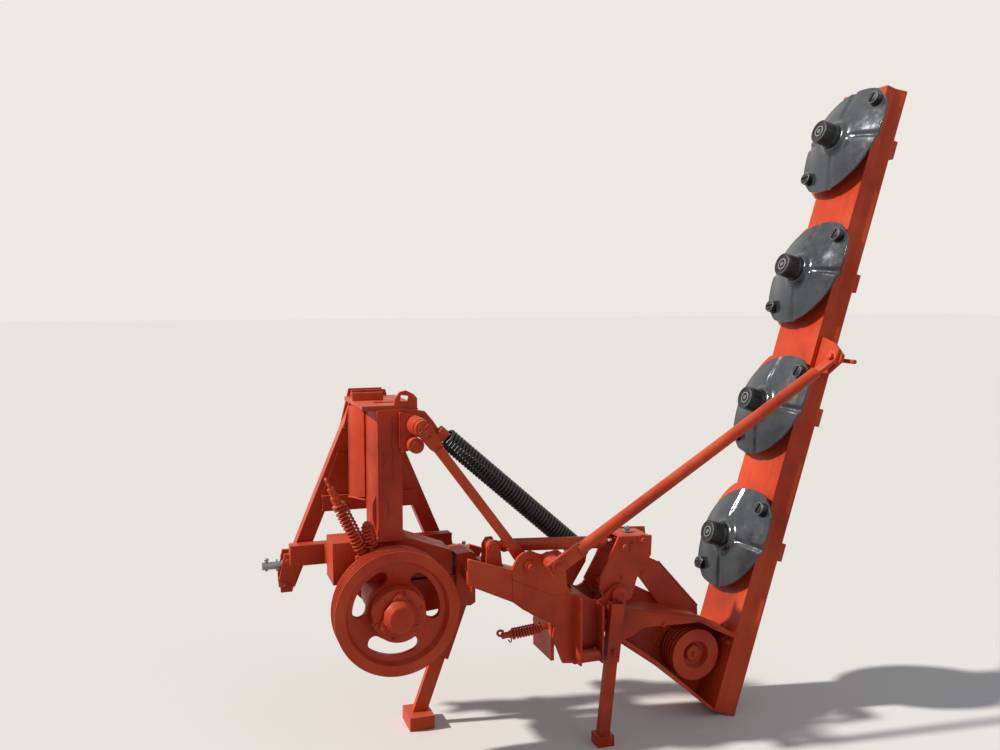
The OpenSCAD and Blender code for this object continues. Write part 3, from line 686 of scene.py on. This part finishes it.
# two knife bolts a disc, at the ends of its long axis, each with a bright ring about its slotted top;
# ends are (side of the axis, turn of the slot)
knifeLook = {
    "circle": 197.0, "ends": ((1, 20), (-1, -35)), "axisTurn": -45, "shoulder": 28.0,
    "stem": [(0, -16), (17, -16), (19, -14), (19, 2), (22, 3), (24, 5), (24, 26), (20.5, 28), (0, 28)],
    "topRadius": 20.0, "topRise": 6.0, "topSink": 0.5, "topEase": 0.9, "slotHalf": 3.0,
    "ringOuter": 23.4, "ringInner": 20.8, "ringSink": 1.0, "ringHeight": 4.5,
}


def slottedHalf(look):
    # half of the bolt's top, cut off beside the slot
    bm = bmesh.new()
    bmesh.ops.create_circle(bm, cap_ends=True, segments=40, radius=look["topRadius"])
    bmesh.ops.bisect_plane(bm, geom=bm.verts[:] + bm.edges[:] + bm.faces[:],
                           plane_co=(0, look["slotHalf"], 0), plane_no=(0, -1, 0), clear_outer=True)
    thicken(bm, bm.faces[:], look["topRise"])
    upper = [edge for edge in bm.edges if all(vert.co.z > look["topRise"] / 2 for vert in edge.verts)]
    easeEdges(bm, upper, look["topEase"])
    return bm


def makeKnifeBolts(look, number, foot):
    bolts = []
    rings = []
    for end, spin in look["ends"]:
        seat = foot @ turned(look["axisTurn"]) @ shifted(end * look["circle"], 0, 0) @ turned(spin)
        bolts.append((turnedShape(look["stem"]), seat))
        for side in (0, 180):
            lifted = seat @ shifted(0, 0, look["shoulder"] - look["topSink"])
            bolts.append((slottedHalf(look), lifted @ turned(side)))
        lifted = seat @ shifted(0, 0, look["shoulder"] - look["ringSink"])
        rings += ringParts(lifted, look["ringOuter"], look["ringInner"], look["ringHeight"])
    piece("knifeBolts%d" % number, bolts, "rotor_%d" % number, "black_enamel")
    return rings


# rings are (outer, inner, height)
capLook = {
    "height": 150.0, "blackRings": [(43, 38, 4), (35, 24, 2.2)],
    "brightRings": [(37.6, 36, 4.2), (22, 16.5, 4.5)],
    "socketBolt": [(0, 0), (9, 0), (9, 4.5), (7.5, 6), (3.5, 6), (3, 3.5), (0, 3.5)],
}


def makeCap(look, number, top, boltRings):
    name = "rotor_%d" % number
    black = []
    for row in look["blackRings"]:
        black += ringParts(top, *row)
    piece("capFace%d" % number, black, name, "black_enamel")
    bright = boltRings + [(turnedShape(look["socketBolt"], steps=28), top)]
    for row in look["brightRings"]:
        bright += ringParts(top, *row)
    piece("rotorRings%d" % number, bright, name, "bare_steel")


def makeRotors(row):
    for i in range(row["rotors"]):
        foot = spot((i * row["pitch"], 0, row["rimHeight"]), bar=True)
        top = spot((i * row["pitch"], 0, capLook["height"]), bar=True)
        makeDisc(discLook, i + 1, foot)
        rings = makeKnifeBolts(knifeLook, i + 1, foot)
        makeCap(capLook, i + 1, top, rings)
    print("rotors dressed:", row["rotors"])


makeRotors(rotorRow)

# bolts on the hub cover's three lobes and on the ring behind, and the domed cap over the shaft's nut
hubLook = {
    "lobes": {"centre": (0, -30, 0), "radius": 67, "count": 3, "first": 90, "lead": 0,
              "side": "back", "across": 11},
    "ring": {"centre": (0, -16, 0), "radius": 79, "count": 6, "first": 0, "lead": 15,
             "side": "back", "across": 10, "washer": False},
    "dome": [(0, 0), (59, 0), (59, 3), (57, 5.5), (44, 23.5), (41, 26), (38, 27), (0, 27)],
    "domeSides": 10, "domePlace": (0, -29.5, 0), "domeSpin": 12,
}


def makeHubBolts(look):
    parts = boltCircle(look["lobes"]) + boltCircle(look["ring"])
    dome = turnedShape(look["dome"], look["domeSides"])
    parts.append((dome, spot(look["domePlace"], "back", look["domeSpin"])))
    piece("hubBolts", parts, "drive_pulley")


makeHubBolts(hubLook)

# painted hub end of the driven pulley, its key and retaining bolt
drivenHub = {
    "place": (1118, 20, -278), "boltLift": 6, "boltAcross": 17, "keyLength": 9,
    "end": [(0, -2), (29, -2), (29, 4), (26, 8), (20, 8.5), (17, 7), (0, 7)],
    "key": [(-5, 18), (5, 18), (5, 33), (-5, 33)],
}


def makeDrivenHub(look):
    end = spot(look["place"], "back")
    parts = [(turnedShape(look["end"]), end), (cutShape(look["key"], look["keyLength"]), end)]
    parts += boltParts(end @ shifted(0, 0, look["boltLift"]), look["boltAcross"])
    piece("drivenHubEnd", parts, "driven_pulley")


makeDrivenHub(drivenHub)

# heads and nuts at the two sides of the bearing housing's flange
housingBolts = [
    {"centre": (0, 390, 0), "radius": 69, "count": 6, "first": 0, "lead": 0, "side": "back", "across": 11},
    {"centre": (0, 410, 0), "radius": 69, "count": 6, "first": 0, "lead": 0, "side": "front", "across": 11,
     "nut": True},
]


def makeHousingBolts(rows):
    parts = []
    for row in rows:
        parts += boltCircle(row)
    piece("housingBolts", parts, "frame", "bare_steel")


makeHousingBolts(housingBolts)
print("hubs bolted")

# Bolts by place, side they face, across flats, nut or head. Paired ones stand at x and at -x.
pairedBolts = [
    ((305, 458, 84), "back", 16, False),
    ((315, 458, -8), "back", 16, False),
    ((305, 538, 84), "front", 16, True),
    ((315, 538, -8), "front", 16, True),
    ((52, 458, 640), "back", 14, False),
    ((66, 458, 590), "back", 14, False),
    ((150, 404, 132), "front", 15, False),
    ((150, 404, 104), "front", 15, False),
]
singleBolts = [
    ((436, -70, 138), "back", 19, False),
    ((700, 101.3, 118), "back", 17, False),
    ((262, 250, 128), "front", 17, True),
    ((262, 250, 96), "front", 17, True),
    ((628, -60, -206), "back", 12, False),
    ((607, -60, -212), "back", 12, False),
]
# on the pieces that fold with the bar, counted from the pulley
foldingBolts = [
    ((800, -42, 168), "back", 19, False),
    ((871, -42, 185), "back", 19, False),
    ((934, 76, 49), "back", 22, False),
    ((934, 96, 49), "front", 22, True),
    ((960, -41, -130), "back", 10, False),
    ((1150, 96.3, -190), "back", 15, False),
    ((1010, 96.3, -250), "back", 15, False),
]
# on the panel, counted from the bar's foot
panelBolts = [
    ((-372, -60, 0), "up", 15, False),
    ((-330, -60, 0), "up", 15, False),
    ((-372, -100, 0), "up", 15, False),
]
# at each rotor: nuts under the panel, and heads on its front guard
rotorBolts = {
    "nuts": [(-44, -30), (-44, 40), (44, -30), (44, 40)], "nutZ": -92, "nutAcross": 14,
    "heads": [(-150, 150), (-60, 165), (60, 165), (150, 150)], "headZ": -4, "headAcross": 13,
}
drivenBolts = {
    "centre": (1118, 190, -278), "radius": 56, "count": 6, "first": 0, "lead": 20,
    "side": "front", "across": 13,
}
# in degrees
hexagonRepeat = 60
turnPerMm = 7


def boltRows(rows, bar=False):
    # hexagons stand at different turns, by how far out they are
    parts = []
    for place, side, across, nut in rows:
        spin = (place[0] * turnPerMm) % hexagonRepeat
        parts += boltParts(spot(place, side, spin, bar), across, nut=nut)
    return parts


def makeFrameBolts(paired, single):
    mirrored = [((-x, y, z), side, across, nut) for (x, y, z), side, across, nut in paired]
    piece("frameBolts", boltRows(paired + mirrored + single), "frame")


def makeBarBolts(look, row):
    parts = boltRows(foldingBolts) + boltRows(panelBolts, bar=True) + boltCircle(drivenBolts)
    for i in range(row["rotors"]):
        middle = i * row["pitch"]
        for x, y in look["nuts"]:
            place = spot((middle + x, y, look["nutZ"]), "down", x, bar=True)
            parts += boltParts(place, look["nutAcross"], nut=True)
        for x, y in look["heads"]:
            place = spot((middle + x, y, look["headZ"]), "up", x, bar=True)
            parts += boltParts(place, look["headAcross"])
    piece("barBolts", parts, "cutter_bar")


leverBolt = {"place": (846, 30, 203), "across": 17}


def makeLeverBolt(look):
    # one bright bolt through the lever's top
    piece("leverBolt", boltParts(spot(look["place"]), look["across"], nut=True), "cutter_bar", "bare_steel")


makeFrameBolts(pairedBolts, singleBolts)
makeBarBolts(rotorBolts, rotorRow)
makeLeverBolt(leverBolt)
print("bolts set")

# All pin ends face back. Washers are (place, outer, inner, height), split pins (place, spin, pin radius),
# nipples are grease nipples.
cotterWire = 2.2
nippleProfile = [(0, 0), (4, 0), (4, 5), (2.6, 8), (3.2, 10), (0, 11)]
framePinLook = {
    "foldCap": [(0, 0), (30, 0), (30, 12.5), (26, 16), (12, 17), (9, 14), (0, 14)],
    "foldPlace": (770, -60.5, 4),
    "washers": [
        ((82, -34.2, 614), 22, 14.2, 3.5),        # tension rod's upper pin
        ((76, 44, 549), 15, 0.5, 5),              # lower boss of the column
        ((506, -148.5, 152), 24, 13.2, 4),        # transport rod's lower pin
        ((330, 2, 195), 20, 12.8, 4),             # lift cylinder's pin
    ],
    "splitPins": [((82, -39, 614), 40, 13), ((506, -152.5, 152), 25, 12)],
    "nipples": [(104, -27, 587)],
}
barPinLook = {
    "washers": [], "splitPins": [((830, -44, 166), 70, 11)], "nipples": [(790, -42, 60)],
    "lugPlace": (742, -224, -30), "lugRadius": 8,
    "lugPin": [(0, 0, -1), (0, 0, 12), (0, 0, 20), (0, 6, 27), (0, 20, 29), (0, 60, 30)],
}


def cotterParts(place, radius):
    # a split pin across the end of a larger pin, its legs bent over
    eye = [(-radius - 4, -2, 0), (-radius - 9, 0, 0), (-radius - 4, 2, 0)]
    loop = [(radius + 2, -3, 0)] + eye + [(radius + 8, 5, 2)]
    return [(wireShape(loop, cotterWire), place)]


def pinEnds(look):
    parts = []
    for place, outer, inner, height in look["washers"]:
        parts += ringParts(spot(place, "back"), outer, inner, height)
    for place, spin, radius in look["splitPins"]:
        parts += cotterParts(spot(place, "back", spin), radius)
    for place in look["nipples"]:
        parts.append((turnedShape(nippleProfile, steps=16), spot(place, "back")))
    return parts


def makeFramePins(look):
    cap = (turnedShape(look["foldCap"], steps=48), spot(look["foldPlace"], "back"))
    piece("framePins", [cap] + pinEnds(look), "frame")


def makeBarPins(look):
    # pin of the transport lug, with its bent handle
    lug = (wireShape(look["lugPin"], look["lugRadius"]), spot(look["lugPlace"], "down", bar=True))
    piece("barPins", [lug] + pinEnds(look), "cutter_bar")


rodPinHead = {"place": (742, -224, -5.7), "across": 22}


def makeRodPinHead(look):
    piece("rodPinHead", boltParts(spot(look["place"], bar=True), look["across"]), "transport_rod")


# lynch pins of the lower hitch pins
lynchLook = {
    "x": 376, "y": 498, "z": 62, "wire": 2.4,
    "peg": [(0, -19), (4.5, -19), (5, -17), (5, 18), (8, 19), (8, 26), (6, 28), (0, 28)],
    "loop": [(0, 6, 24), (0, 21, 16), (0, 22, 0), (0, 20, -14), (0, 4, -17)],
}


def makeLynchPins(look):
    parts = []
    for side in (-1, 1):
        place = spot((side * look["x"], look["y"], look["z"]))
        parts.append((turnedShape(look["peg"], steps=24), place))
        parts.append((wireShape(look["loop"], look["wire"]), place))
    piece("lynchPins", parts, "frame", "bare_steel")


makeFramePins(framePinLook)
makeBarPins(barPinLook)
makeRodPinHead(rodPinHead)
makeLynchPins(lynchLook)
print("pins and washers set")

# ring and gland are (radius, distance from the lug's eye), the boss is (radius, distance from the axis)
cylinderLook = {
    "start": (330, 32, 195), "end": (830, 32, 166), "ports": (66, 392),
    "footRing": [(22, 43), (24, 45), (24, 52), (22, 54)],
    "gland": [(13, 431), (22.5, 431), (24.5, 429), (24.5, 404), (23, 402), (22, 402), (22, 401)],
    "portBoss": [(0, 18), (9, 18), (9, 31), (8, 32), (0, 32)],
    "plugAcross": 17, "plugHeight": 8, "plugLift": 31,
    "wiperPlace": 430, "wiperOuter": 19, "wiperInner": 13.0, "wiperHeight": 4,
}


def makeCylinder(look):
    axis = alongRod(look)
    parts = [(turnedShape(look["footRing"]), axis), (turnedShape(look["gland"]), axis)]
    for place in look["ports"]:
        port = axis @ shifted(0, 0, place) @ turned(90, "Y")
        parts.append((turnedShape(look["portBoss"], steps=24), port))
        plug = hexShape(look["plugAcross"], look["plugHeight"])
        parts.append((plug, port @ shifted(0, 0, look["plugLift"])))
    piece("cylinderFittings", parts, "cylinder_barrel")
    seat = axis @ shifted(0, 0, look["wiperPlace"])
    wiper = ringParts(seat, look["wiperOuter"], look["wiperInner"], look["wiperHeight"])
    piece("rodWiper", wiper, "cylinder_barrel", "black_enamel")
    print("lift cylinder fitted")


makeCylinder(cylinderLook)


def uprightSheet(row):
    # an upright plate on a line of the plan: its foot height at both ends of the line, and its top
    start = Vector(row["from"])
    end = Vector(row["to"])
    length = (end - start).length
    way = (end - start).normalized()
    outline = [(0, row["footFrom"]), (length, row["footTo"]), (length, row["top"]), (0, row["top"])]
    turn = Matrix(((way.x, 0, way.y, start.x), (way.y, 0, -way.x, start.y), (0, 1, 0, 0), (0, 0, 0, 1)))
    return (cutShape(outline, row["sheet"]), siteMatrix() @ turn)


# the mast channel folded from sheets, and the sheet at the column's left
channelLook = {
    "side": {"from": (-67, 208), "to": (-108, 289), "footFrom": 354, "footTo": 340, "top": 664, "sheet": 6},
    "column": {"from": (-41, 108), "to": (-63, 205), "footFrom": 236, "footTo": 240, "top": 663, "sheet": 5},
    "face": [(-107, 342), (10, 352), (10, 640), (-40, 640), (-40, 664), (-107, 664)],
    "faceY": 290, "faceSheet": 6,
    "foot": [(-69, 206), (-40.5, 206), (-40.5, 284), (-106, 290), (-112, 286)], "footZ": 342, "footSheet": 5,
    "lap": [(-46, 206), (-40.5, 206), (-40.5, 250), (-46, 250)], "lapZ": 358, "lapHeight": 300,
}


def makeMastChannel(look):
    parts = [uprightSheet(look["side"]), uprightSheet(look["column"])]
    parts.append((cutShape(look["face"], look["faceSheet"]), spot((0, look["faceY"], 0), "back")))
    # turned-in foot, and the lap at the column
    parts.append((cutShape(look["foot"], look["footSheet"]), spot((0, 0, look["footZ"]))))
    parts.append((cutShape(look["lap"], look["lapHeight"]), spot((0, 0, look["lapZ"]))))
    piece("mastChannelPlate", parts, "frame", replaces="mast_channel")


makeMastChannel(channelLook)

# the box beam's near sheet with its folded rim, and the strut that ties it to the arm below the belts' way
beamLook = {
    "strut": {"from": (262, 125), "to": (240, -54), "footFrom": 64, "footTo": 64, "top": 106, "sheet": 6},
    "near": [(222, 92), (375.6, 20.5), (375.6, 128), (228, 178), (219, 174)], "nearY": -54, "nearSheet": 6,
    "rim": [(6, 0.5), (163, 0.5), (163, 20), (6, 20)], "rimSheet": 5, "rimSink": 6,
    "rimCorner": (219, -60, 181), "rimSlope": 18.7,
}


def makeBeamSheet(look):
    parts = [uprightSheet(look["strut"])]
    parts.append((cutShape(look["near"], look["nearSheet"]), spot((0, look["nearY"], 0), "back")))
    slope = spot(look["rimCorner"]) @ turned(look["rimSlope"], "Y")
    parts.append((cutShape(look["rim"], look["rimSheet"]), slope @ shifted(0, 0, -look["rimSink"])))
    piece("beamNearSheet", parts, "frame")


makeBeamSheet(beamLook)

fillerLook = {"outline": [(43, 111), (97, 111), (97, 129), (43, 129)], "z": 646, "height": 18}


def makeStrapFiller(look):
    # filling piece between the top bracket and the strap
    piece("strapFiller", [(cutShape(look["outline"], look["height"]), spot((0, 0, look["z"])))], "frame")


makeStrapFiller(fillerLook)
print("folded plates set")

# locking pins through the two sockets, each with its spring clip
standLook = {
    "park": {"socket": (300, 272.5, -10), "rake": 20, "drop": 190, "side": "front", "clipWire": 2.4,
             "pin": [(0, -36), (7, -36), (7, -22.2), (0, -22.2)],
             "clip": [(0, -30, -190), (10, -40, -196), (4, -44, -214), (-8, -38, -204)]},
    "shoe": {"socket": (749, -90, -8), "rake": 6, "drop": 170, "side": "back", "clipWire": 2.2,
             "pin": [(0, 16.2), (7, 16.2), (7, 26), (4, 29), (0, 29)],
             "clip": [(0, -22, -170), (9, -30, -176), (3, -32, -192), (-8, -28, -184)]},
}


def makeStandPins(look):
    parts = []
    for row in look.values():
        socket = spot(row["socket"]) @ turned(row["rake"], "Y")
        pinPlace = socket @ shifted(0, 0, -row["drop"]) @ towards[row["side"]]
        parts.append((turnedShape(row["pin"], steps=24), pinPlace))
        parts.append((wireShape(row["clip"], row["clipWire"]), socket))
    piece("standPins", parts, "frame")
    print("stand pins set")


makeStandPins(standLook)

# weld runs by their two ends, counted from the pulley
frameWelds = [
    ((-44, 107, 221), (46, 107, 221)),
    ((-40, 109, 230), (-40, 216, 230)),
    ((43, 109, 231), (43, 216, 231)),
    ((30, 86, 540), (30, 86, 655)),
    ((305, 129, 116), (305, 129, 20)),
    ((306, 131, 117), (444, 131, 67)),
    ((376, -60, 98), (528, -60, 27)),
    ((545, -60, 31), (582, -60, 31)),
    ((602, -60, 20), (602, -60, -210)),
    ((684, -60, -14), (684, -60, -200)),
    ((236, 126, 148), (236, 126, -36)),
    ((-100, 266, 78), (100, 266, 78)),
    ((642, 130, 4), (642, 130, -60)),
    ((520, -48, -79), (520, 118, -79)),
    ((304, 118, 122), (364, 118, 122)),
    ((-58, 266, 16), (58, 266, 16)),
    ((-90, 121, 664), (98, 121, 664)),
    ((-67, 207, 655), (-67, 207, 356)),
    ((-300, 404, 150), (300, 404, 150)),
    ((-96, 458, 562), (96, 458, 562)),
    ((480, -49, 152), (506, -49, 178)),
]
barWelds = [
    ((792, -42, -54), (1099, -42, -117)),
    ((782, -42, -171), (934, -42, -280)),
    ((779, 96, -60), (779, 96, -174)),
    ((792, -34, 203), (904, -34, 197)),
    ((1001, 77, 64), (1166, 77, -118)),
]
# the transport lug's weld, counted from the bar's foot
lugWeld = ((672, -123, -18), (818, -123, -18))


def makeWelds(frameRuns, barRuns, lugRun):
    piece("frameWelds", [(weldShape(beadLook, *run), siteMatrix()) for run in frameRuns], "frame")
    parts = [(weldShape(beadLook, *run), siteMatrix()) for run in barRuns]
    parts.append((weldShape(beadLook, *lugRun), barMatrix()))
    piece("barWelds", parts, "cutter_bar")
    print("welds laid:", len(frameRuns) + len(barRuns) + 1)


makeWelds(frameWelds, barWelds, lugWeld)

# sags in the paint of the column
sagLook = {
    "radius": 1.5,
    "runs": [
        [(6, 107.6, 640), (9, 107.4, 600), (4, 107.5, 560),
         (10, 107.4, 520), (6, 107.5, 470), (12, 107.4, 430)],
        [(-24, 107.6, 520), (-20, 107.4, 490), (-26, 107.5, 468)],
        [(-10, 107.6, 360), (-7, 107.4, 320), (-12, 107.5, 296)],
    ],
}


def makePaintRuns(look):
    piece("paintRuns", [(wireShape(run, look["radius"]), siteMatrix()) for run in look["runs"]], "frame")


makePaintRuns(sagLook)

# the floor's colour as it lights the machine, and as the camera sees it
floorLook = {"lit": "#B4B4B3", "seen": "#D8D8D7", "roughness": 0.95, "specular": 0.1, "halfSide": 60}


def makeFloor(look):
    mat, tree, shader = newMaterial("paleFloor")
    ray = tree.nodes.new("ShaderNodeLightPath").outputs["Is Camera Ray"]
    base = mix(tree, ray, toLinear(look["lit"]), toLinear(look["seen"]))
    tree.links.new(base, shader.inputs["Base Color"])
    shader.inputs["Roughness"].default_value = look["roughness"]
    shader.inputs["Specular IOR Level"].default_value = look["specular"]
    bm = bmesh.new()
    bmesh.ops.create_grid(bm, x_segments=1, y_segments=1, size=look["halfSide"])
    mesh = bpy.data.meshes.new("floor")
    bm.to_mesh(mesh)
    bm.free()
    mesh.materials.append(mat)
    floor = bpy.data.objects.new("floor", mesh)
    bpy.context.scene.collection.objects.link(floor)


makeFloor(floorLook)

# the sky as it lights the machine, and as the camera and reflections see it
skyLook = {
    "lit": {"Color": toLinear("#EAEDF0"), "Strength": 0.36},
    "seen": {"Color": toLinear("#EFECE6"), "Strength": 0.97},
}


def makeSky(look):
    world = bpy.data.worlds.new("studio")
    world.use_nodes = True
    bpy.context.scene.world = world
    tree = world.node_tree
    tree.nodes.clear()
    path = tree.nodes.new("ShaderNodeLightPath")
    direct = maths(tree, "MAXIMUM", path.outputs["Is Camera Ray"], path.outputs["Is Glossy Ray"])
    lit = addNode(tree, "ShaderNodeBackground", look["lit"])
    seen = addNode(tree, "ShaderNodeBackground", look["seen"])
    blended = addNode(tree, "ShaderNodeMixShader", {}, {0: direct, 1: lit.outputs[0], 2: seen.outputs[0]})
    addNode(tree, "ShaderNodeOutputWorld", {}, {0: blended.outputs[0]})


makeSky(skyLook)

# lamps in metres, all turned to the middle of the machine
lampTarget = Vector((0, 0, 0.8))
lamps = {
    "sunSide": {"kind": "SUN", "from": (-7.0, 1.6, 6.6), "energy": 4.3, "colour": "#FFF8EF", "angle": 3.0},
    "skyFill": {"kind": "AREA", "from": (3.0, -5.0, 5.0), "energy": 35, "colour": "#E6F0FF", "size": 4.0},
}


def placeLamp(name, lamp):
    data = bpy.data.lights.new(name, lamp["kind"])
    data.energy = lamp["energy"]
    data.color = toLinear(lamp["colour"])[:3]
    if lamp["kind"] == "SUN":
        data.angle = math.radians(lamp["angle"])
    else:
        data.size = lamp["size"]
    obj = bpy.data.objects.new(name, data)
    obj.location = lamp["from"]
    obj.rotation_euler = (lampTarget - Vector(lamp["from"])).to_track_quat("-Z", "Y").to_euler()
    bpy.context.scene.collection.objects.link(obj)


for name, lamp in lamps.items():
    placeLamp(name, lamp)

# the photo's camera, placed like the pieces; turn to the right and tilt down in degrees, lens in mm
cameraView = {"place": (-684.4, -2987.7, 1045.2), "turn": 19.14, "tilt": 4.78, "lens": 34.2, "sensor": 36}


def placeCamera(view):
    camera = bpy.data.objects.new("camera", bpy.data.cameras.new("camera"))
    camera.data.sensor_width = view["sensor"]
    camera.data.lens = view["lens"]
    camera.location = siteMatrix() @ Vector(view["place"])
    camera.rotation_euler = (math.radians(90 - view["tilt"]), 0, math.radians(-view["turn"]))
    bpy.context.scene.collection.objects.link(camera)
    bpy.context.scene.camera = camera
    bpy.context.scene.view_settings.view_transform = "Standard"
    print("stage, lamps and camera set")


placeCamera(cameraView)
